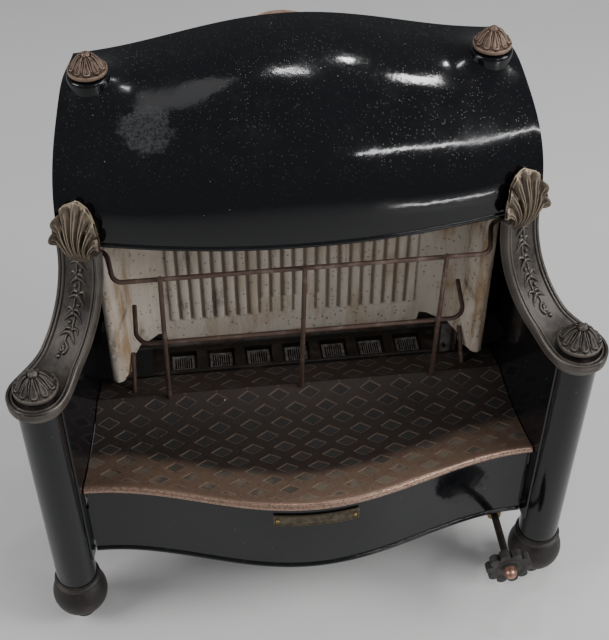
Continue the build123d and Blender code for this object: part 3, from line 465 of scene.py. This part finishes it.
tan_stain = (streak * 0.6 + at.noise(11.0, 4.0) * 0.4).rise(0.46, 0.62)
# Darker in the grooves between the reeds: painted shade, with some tan stain.
between = split.math("COSINE", split * (2 * pi / reed_pitch)).rise(0.30, 1.0)
in_flat = 1 - split.math("ABSOLUTE", split).rise(146 * MM, 150 * MM)
above_foot = split.output(2).rise(reed_foot - 2 * MM, reed_foot + 3 * MM)
groove_shade_and_stain = between * in_flat * above_foot
soot = at.stretch(1.0, 1.0, 0.35).noise(23.0, 7.0, 0.7).rise(0.57, 0.72)
on_wing = split.math("ABSOLUTE", split).rise(140 * MM, 165 * MM)
tan_stain = tan_stain * (0.6 + 0.4 * on_wing) + on_wing * 0.25 * streak.rise(0.40, 0.55)
colour = tan_stain.tint((0.585, 0.520, 0.445), (0.36, 0.245, 0.145))
colour = (groove_shade_and_stain * 0.9).tint(colour, (0.150, 0.108, 0.076))
colour = (soot * 0.85).tint(colour, (0.060, 0.045, 0.035))
pits = at.specks(190.0, 0.30, 0.42)
colour = (pits * 0.55).tint(colour, (0.16, 0.12, 0.085))
lay(fireclay, colour, 0.82 + soot * 0.08, at.noise(240.0, 6.0, 0.7) - pits * 0.8, 0.0011)
fireback = grid_piece("fireback_clay", np.stack([px, py, pz], axis=-1), fireclay,
                      wrap=True, caps=True)
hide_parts("fireback")


# ---- Arms ----
# A casting that sweeps up from a round end on each column to the hood, with a
# stepped border and a vine in low relief. It has a dark bronze wash, rubbed
# lighter on the raised edges.
def arm_bronze(name, dark, light, rub):
    """Bronze wash over iron, lighter where low relief stands up; rub is how much is worn."""
    made, at = start(name, Metallic=0.55)
    worn_edge = at.node("NewGeometry", output="Pointiness").rise(0.505, 0.545) * rub
    cloud = at.noise(42.0, 6.0, 0.66).rise(0.35, 0.72)
    grain = at.noise(680.0, 3.0, 0.6)
    hollow = 1 - at.node("NewGeometry", output="Pointiness").rise(0.44, 0.495)
    colour = cloud.tint(dark, tuple(0.55 * a + 0.45 * b for a, b in zip(dark, light)))
    colour = worn_edge.tint(colour, light)
    colour = (hollow * 0.85).tint(colour, tuple(0.25 * a for a in dark))
    lay(made, colour, 0.36 + cloud * 0.14 + grain * 0.12 + hollow * 0.2, grain, 0.0003)
    return made


pewter = arm_bronze("dark_bronze", (0.021, 0.0175, 0.0155), (0.145, 0.125, 0.108), 0.85)
arm_yaw, arm_reach, arm_rise = radians(33.8), 98.7 * MM, 120.0 * MM
arm_half, arm_end, arm_deep = 25.0 * MM, 32.0 * MM, 9.6 * MM
arm_foot = Vector((285.0 * MM, row_y, 400.0 * MM))
arm_back = np.array((-sin(arm_yaw), cos(arm_yaw), 0.0))
arm_side = np.array((cos(arm_yaw), sin(arm_yaw), 0.0))
turns = np.linspace(0, pi / 2, 400)
sweep = np.stack([arm_reach * np.sin(turns), arm_rise * (1 - np.cos(turns))], axis=1)
sweep_length = np.concatenate([[0], np.cumsum(np.hypot(*np.diff(sweep, axis=0).T))])
arm_long = sweep_length[-1]


def on_arm(s, v, h):
    """Point of the right arm: s along it from the column, v across it and h above its face."""
    g = np.interp(s, sweep_length, turns)
    out = np.where(s < 0, s, arm_reach * np.sin(g))
    up = arm_rise * (1 - np.cos(g))
    run = np.hypot(arm_reach * np.cos(g), arm_rise * np.sin(g))
    lean_out = -arm_rise * np.sin(g) / run
    lean_up = arm_reach * np.cos(g) / run
    flat = (out + h * lean_out)[..., None] * arm_back + v[..., None] * arm_side
    return flat + (up + h * lean_up)[..., None] * np.array((0, 0, 1.0)) + np.array(arm_foot)


def stroke(a, b, c, wide, narrow, count=16):
    """Points and radii, in mm, of a leaf or stem that bends from a past b to c."""
    t = np.linspace(0, 1, count)[:, None]
    line = (1 - t) ** 2 * np.array(a) + 2 * t * (1 - t) * np.array(b) + t ** 2 * np.array(c)
    return np.concatenate([line, wide + (narrow - wide) * t], axis=1)


vine = [stroke((47, 2.5), (47, 2.5), (47, 2.5), 2.0, 2.0, 1),
        stroke((52, -2), (58, -6), (63, 0), 1.6, 1.1),
        stroke((54, 1), (57, 5.5), (62, 2), 1.9, 1.0), stroke((55, -1), (57, 0), (59, 1), 1.7, 1.7, 5)]
for k, s in enumerate(np.arange(72.0, 168.0, 20.5)):
    f = 1 if k % 2 else -1
    vine += [stroke((s - 9, -1.5 * f), (s - 2, -3.0 * f), (s + 2, 0), 1.0, 1.0),
             stroke((s + 2, 0), (s + 7, 3.5 * f), (s + 12, 1.5 * f), 1.0, 1.0),
             stroke((s + 3, 1.0 * f), (s - 1, 5.5 * f), (s - 7, 9.5 * f), 2.3, 0.5),
             stroke((s + 3, 0), (s + 2, -6.0 * f), (s - 4, -10.0 * f), 2.0, 0.5),
             stroke((s + 6, 2.5 * f), (s + 11, 8.5 * f), (s + 3, 10.0 * f), 1.2, 0.5),
             stroke((s + 7, -0.5 * f), (s + 8, -6.0 * f), (s + 2, -7.0 * f), 1.3, 0.6),
             stroke((s + 13, -3 * f), (s + 13, -3 * f), (s + 13, -3 * f), 1.8, 1.8, 1)]
vine = np.concatenate(vine)

tip = -arm_end * np.cos(np.linspace(0.02, pi / 2, 30))
rows_s = np.concatenate([tip, np.arange(0.9 * MM, arm_long, 0.85 * MM), [arm_long]])
wide = np.where(rows_s < 0, np.sqrt(np.clip(arm_end ** 2 - rows_s ** 2, 0, 1)),
                arm_half + (arm_end - arm_half) * (1 - smooth(rows_s, 0, 48 * MM)))
q = np.linspace(-1, 1, 105)
s_top = rows_s[:, None] + 0 * q[None, :]
v_top = wide[:, None] * q[None, :]
inside = np.where(s_top < 0, arm_end - np.hypot(s_top, v_top), wide[:, None] - np.abs(v_top)) / MM
border = (2.4 * smooth(inside, -0.3, 1.3) - 1.5 * smooth(inside, 3.5, 4.3)
          + 1.0 * smooth(inside, 4.8, 5.6) - 1.9 * smooth(inside, 6.9, 8.3))
relief = np.zeros_like(s_top)
vine_thick, vine_tall = 1.22, 1.25
for vine_s, vine_v, radius in vine:
    away = np.hypot(s_top / MM - vine_s, v_top / MM - vine_v)
    thick = radius * vine_thick
    relief = np.maximum(relief, np.sqrt(np.clip(thick ** 2 - away ** 2, 0, None)) * vine_tall)
top = on_arm(s_top, v_top, (border + relief) * MM)
under = []
for inset, deep in ((0.2, 5.0), (0.4, 8.6), (1.6, 9.6)):
    under.append(on_arm(rows_s, np.maximum(wide - inset * MM, 0), -deep * MM + 0 * rows_s))
middle_under = on_arm(rows_s, 0 * rows_s, -arm_deep + 0 * rows_s)
left_under = []
for inset, deep in ((1.6, 9.6), (0.4, 8.6), (0.2, 5.0)):
    left_under.append(on_arm(rows_s, -np.maximum(wide - inset * MM, 0), -deep * MM + 0 * rows_s))
loops = np.concatenate([top, np.stack(under + [middle_under] + left_under, axis=1)], axis=1)
for side in ("right", "left"):
    points = loops if side == "right" else loops[::-1] * (-1, 1, 1)
    arm = grid_piece(f"arm_{side}_relief", points, pewter, wrap=True, caps=True,
                     crease=70.0)
    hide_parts(f"arm_{side}")


def lathe(outline, at, count=64):
    """Rows of points round an upright axis through at; the outline is radius and height."""
    angles = np.linspace(0, 2 * pi, count, endpoint=False)
    outline = np.array(outline)
    ring = np.stack([np.cos(angles), np.sin(angles)], axis=1)
    flat = outline[:, 0][:, None, None] * ring[None]
    tall = np.broadcast_to(outline[:, 1][:, None, None], (*flat.shape[:2], 1))
    return np.concatenate([flat, tall], axis=-1) * MM + np.array(at)


for sign, side in ((1, "right"), (-1, "left")):
    seat = lathe([(0.1, -16), (26.6, -16), (27.6, -15), (28, -11), (29, -9), (29, -8.5)],
                 (sign * arm_foot.x, arm_foot.y, arm_foot.z))
    grid_piece(f"arm_{side}_seat", seat, pewter, wrap=True, caps=True)


# ---- Rosettes on the arms, finials on the hood ----
# The same small casting twice: a rimmed disc on a stalk, with a cone of petals
# that ends in a flower button. Those on the arms are dark, those on the hood are
# washed copper tan.
def rosette(name, node, place, stand, finish, size=1.0):
    """Petalled disc; place is the foot of its stalk and stand the stalk's height in mm."""
    rim, petals = 23.5, 10
    angles = np.linspace(0, 2 * pi, 300, endpoint=False)
    outline = [(0.1, 0), (9, 0), (9, stand), (rim - 1.2, stand), (rim - 0.3, stand + 0.4),
               (rim, stand + 1.4), (rim, stand + 3.4), (rim - 0.3, stand + 4.6),
               (rim - 1.1, stand + 5.3)]
    cone = np.linspace(21.9, 6.5, 50)
    cone_z = np.interp(cone, (6.5, 9, 13, 17, 19.6, 21.9), (20.9, 19.4, 15.6, 10.4, 6.6, 5.3))
    button = [(6.3, 20.6), (5.9, 20.3), (5.5, 20.9), (5.4, 22.4), (4.9, 23.8), (4.1, 24.9),
              (2.8, 25.8), (1.4, 26.2), (0.1, 26.3)]
    outline += [(r, stand + z) for r, z in zip(cone, cone_z)]
    outline += [(r, stand + z) for r, z in button]
    points = lathe(outline, (0, 0, 0), 300)
    r = np.array([o[0] for o in outline])[:, None]
    h = np.array([o[1] for o in outline])[:, None] - stand
    turn = (angles[None, :] * petals / (2 * pi)) % 1.0 - 0.5
    gap = (angles[None, :] * petals / (2 * pi) + 0.5) % 1.0 - 0.5
    on_cone = smooth(h, 5.2, 5.35) * (1 - smooth(h, 20.7, 20.95)) * (r > 6.4)
    half = np.interp(r, (6.5, 13, 17.5, 19.6, 20.8, 21.4), (1.1, 2.5, 4.5, 4.2, 2.6, 0.05))
    off = turn * 2 * pi * r / petals / half
    body = np.sqrt(np.clip(1 - off ** 2, 0, 1))
    bowl = np.exp(-(off / 0.42) ** 2) * smooth(r, 11, 15.5) * (1 - smooth(r, 18.6, 20.2))
    dart_half = np.interp(r, (6.5, 13, 16.5, 18.5), (0.4, 1.2, 1.2, 0.05))
    dart_off = gap * 2 * pi * r / petals / dart_half
    dart = np.sqrt(np.clip(1 - dart_off ** 2, 0, 1)) * 0.9
    lift = (np.maximum(body * 2.6 - bowl * 1.6, dart) - 0.5) * on_cone
    flower = 0.75 * np.cos(5 * angles)[None, :] * smooth(r, 2.6, 4.4) * (1 - smooth(r, 6.0, 7.2))
    lift = lift + flower * (h > 24)
    points[..., 2] += lift * MM
    points[..., 0] *= 1 + 0.35 * lift * on_cone / np.maximum(r, 8)
    points[..., 1] *= 1 + 0.35 * lift * on_cone / np.maximum(r, 8)
    piece = grid_piece(name, points * size + np.array(place), finish, wrap=True, caps=True)
    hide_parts(node)


finial_size, finial_raise = 0.84, 4.6 * MM
copper_tan = arm_bronze("copper_tan", (0.052, 0.033, 0.024), (0.27, 0.185, 0.135), 0.9)
for sign, side in ((1, "right"), (-1, "left")):
    rosette(f"arm_rosette_{side}_petals", f"arm_rosette_{side}",
            (sign * arm_foot.x, arm_foot.y, arm_foot.z), 7.0, pewter)
    low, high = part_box(f"hood_finial_{side}")
    middle = (low + high) / 2
    rosette(f"hood_finial_{side}_petals", f"hood_finial_{side}",
            (middle.x, middle.y, low.z + finial_raise), 3.0, copper_tan, finial_size)


# ---- Leaves ----
# An acanthus leaf is cast on its own and pinned where each arm meets the hood.
# Its seven lobes fan out from the stem and their tips curl forward; it is the
# brightest of the bronze.
leaf_bronze = arm_bronze("leaf_bronze", (0.070, 0.052, 0.038), (0.36, 0.29, 0.21), 1.0)
a = np.linspace(-1, 1, 197)[None, :]
b = np.linspace(0, 1, 96)[:, None]
lobe = (a + 1) / 2 * 7
ridge = np.abs(np.sin(pi * lobe)) + 0 * b
fan = a * 1.80
notch = 1 - 0.17 * (1 - ridge ** 0.55)
tip_x = 26.5 * np.sin(fan) * notch
tip_up = 32 + 48 * np.cos(fan) * np.where(np.cos(fan) > 0, notch, 0.6)
across = 2 * b * (1 - b) * 9.0 * a + (1 - b) ** 2 * 14.0 * a + b ** 2 * tip_x
up = 2 * b * (1 - b) * (27 + 5 * (1 - np.abs(a))) + b ** 2 * tip_up - 4.0
belly = np.sin(pi * np.clip(up + 4, 0, 84) / 84) ** 0.8
out = 3.0 + 15.0 * belly - 0.15 * np.clip(up, 0, None) - 6.0 * (across / 27.0) ** 2
out = out + 4.2 * (ridge ** 0.65 - 0.45) * smooth(b, 0.04, 0.40)
out = out + 0.55 * np.cos(6 * pi * lobe) * smooth(b, 0.15, 0.4) * (1 - smooth(b, 0.86, 0.95))
for pit in (-0.43, 0.43):
    eye = np.hypot((a - pit) / 0.062, (b - 0.60) / 0.13)
    out = out - 4.5 * np.exp(-eye ** 2) + 1.3 * np.exp(-((eye - 1.5) / 0.4) ** 2)
curl = smooth(b, 0.78, 1.0)
out = out + 5.0 * curl * (0.3 + 0.7 * ridge)
up = up - 2.0 * curl ** 2
front = np.stack([across + 0 * b, up + 0 * a, out + 0 * a], axis=-1)
back = front.copy()
back[..., 2] = out - 3.4
leaf_loop = np.concatenate([front, back[:, ::-1]], axis=1) * MM
leaf_root = np.array(arm_foot) + arm_back * arm_reach + np.array((-6.5, 0, 107.0)) * MM
leaf_yaw = radians(19.0)
leaf_side = np.array((cos(leaf_yaw), sin(leaf_yaw), 0.0))
leaf_points = (leaf_root + leaf_loop[..., 0:1] * leaf_side + leaf_loop[..., 1:2] * np.array((0, 0, 1.0))
               - leaf_loop[..., 2:3] * arm_back)
for side in ("right", "left"):
    points = leaf_points if side == "right" else leaf_points[::-1] * (-1, 1, 1)
    leaf = grid_piece(f"arm_leaf_{side}_acanthus", points, leaf_bronze, wrap=True,
                      caps=True)
    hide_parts(f"arm_leaf_{side}")


# ---- Hood ----
# One pressed sheet, rolled over from a bowed and beaded lip to a humped crest,
# with a raised seat under each finial, all under the same black enamel.
hood_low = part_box("hood")[0]
splay = tan(radians(10.8))
bead, sheet = 3.5 * MM, 2.0 * MM
lip_z, lip_y = hood_low.z + bead, row_y + 86.0 * MM
lip_bow, hood_rise, hood_depth, hump = 34.0 * MM, 122.0 * MM, 149.0 * MM, 33.0 * MM
lip_half, hump_half, shoulder, belly_out = 263.7 * MM, 240.0 * MM, 0.80, 12.0 * MM
swell, swell_wide = 17.0 * MM, 31.0 * MM
t = np.linspace(-1, 1, 181)[:, None]
turns = np.linspace(0, pi / 2, 81)[None, :]
deep = 1 - np.cos(turns) ** shoulder
deep[:, -1] = 1.0
share = np.sin(turns) ** shoulder
hood_x = t * lip_half + 0 * turns
for _ in range(6):
    spread = np.minimum(np.abs(hood_x) / hump_half, 1.0)
    low = 1 - spread ** 2
    high = 0.5 * (1 + np.cos(pi * spread))
    weight = low + (high - low) * share
    hood_y = lip_y + hood_depth * deep - lip_bow * low * (1 - share)
    hood_y = hood_y - belly_out * weight * np.sin(pi * share)
    hood_x = t * (lip_half - splay * (hood_y - row_y))
hood_z = lip_z + hood_rise * share + hump * high * share
finial_low, finial_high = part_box("hood_finial_right")
finial_at = (finial_low + finial_high) / 2
from_finial = np.hypot(np.abs(hood_x) - finial_at.x, hood_y - finial_at.y) / swell_wide
hood_z = hood_z + swell * np.exp(-from_finial ** 2)
skin = np.stack([hood_x, hood_y, hood_z], axis=-1)
along_t = np.gradient(skin, axis=0)
along_u = np.gradient(skin, axis=1)
normal = np.cross(along_t, along_u)
normal /= np.linalg.norm(normal, axis=-1)[..., None]
inner = skin - normal * sheet * np.sign(normal[90, 40, 2])
loops = np.concatenate([skin, inner[:, ::-1]], axis=1)
hood_enamel = enamel("hood_enamel", ((-0.150, 0.004, 0.628), (0.032, 0.030, 0.026), 0.36))
hood = grid_piece("hood_shell", loops, hood_enamel, wrap=True, caps=True, crease=60.0)
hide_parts("hood")


def tube(line, radius, count=20):
    """Rings of points round a line of points that runs mostly along X."""
    run = np.gradient(line, axis=0)
    run /= np.linalg.norm(run, axis=1)[:, None]
    side_way = np.cross(run, (0, 0, 1.0))
    side_way /= np.linalg.norm(side_way, axis=1)[:, None]
    up_way = np.cross(side_way, run)
    angles = np.linspace(0, 2 * pi, count, endpoint=False)
    return (line[:, None] + radius * (np.cos(angles)[None, :, None] * side_way[:, None]
                                      + np.sin(angles)[None, :, None] * up_way[:, None]))


lip = skin[3:-3, 0] + np.array((0, 1.6 * MM, 0))
grid_piece("hood_lip_bead", tube(lip, bead), hood_enamel, wrap=True, caps=True)
for sign, side in ((1, "right"), (-1, "left")):
    low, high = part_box(f"hood_finial_{side}")
    seat = lathe([(21.6, -28), (21.6, -4), (21.2, -1.6), (20.4, -0.4), (19.4, 0), (0.1, 0)],
                 ((low.x + high.x) / 2, (low.y + high.y) / 2, low.z + finial_raise))
    grid_piece(f"finial_seat_{side}", seat, hood_enamel, wrap=True, caps=True)


# ---- Studio ----
# A plain pale floor between two large soft boxes. Narrow and small lamps above and
# in front give the enamel of the hood its streaks and spots of light.
floor = bpy.data.objects.new("floor", bpy.data.meshes.new("floor"))
floor.data.from_pydata([(-4, -4, 0), (4, -4, 0), (4, 4, 0), (-4, 4, 0)], [], [(0, 1, 2, 3)])
bpy.context.scene.collection.objects.link(floor)
pale, at = start("pale_floor")
lay(pale, at.noise(3.0).tint((0.56, 0.56, 0.55), (0.60, 0.60, 0.59)), 0.7 + at.noise(40.0) * 0.1)
floor.data.materials.append(pale)


def soft_box(name, place, aim, width, height, power):
    lamp = bpy.data.lights.new(name, "AREA")
    lamp.shape = "RECTANGLE"
    lamp.size, lamp.size_y, lamp.energy = width, height, power
    holder = bpy.data.objects.new(name, lamp)
    bpy.context.scene.collection.objects.link(holder)
    holder.location = place
    holder.rotation_euler = (Vector(aim) - Vector(place)).to_track_quat("-Z", "Y").to_euler()


soft_box("left", (-2.1, -0.5, 1.7), (0, 0, 0.3), 1.2, 1.4, 42)
soft_box("right", (2.1, -0.7, 1.7), (0, 0, 0.3), 1.2, 1.4, 62)
soft_box("high_strip", (1.12, -1.44, 1.99), (0.13, -0.03, 0.62), 0.75, 0.06, 8)
soft_box("low_strip", (0.80, -1.20, 0.11), (0.14, -0.05, 0.56), 0.45, 0.03, 1.5)
soft_box("left_sheen", (-0.72, 0.42, 2.55), (-0.20, 0.03, 0.64), 0.6, 0.4, 1.1)
soft_box("crest_spot", (0.12, 0.53, 2.60), (0, 0.03, 0.67), 0.35, 0.05, 5)
soft_box("middle_spot", (0.69, 0.85, 2.39), (0.05, 0.04, 0.67), 0.10, 0.10, 4)
soft_box("right_spot", (1.10, 0.53, 2.33), (0.14, 0.03, 0.65), 0.18, 0.18, 6)
world = bpy.data.worlds.new("world")
bpy.context.scene.world = world
world.use_nodes = True
world.node_tree.nodes["Background"].inputs[0].default_value = (0.88, 0.91, 0.95, 1)
world.node_tree.nodes["Background"].inputs[1].default_value = 0.24
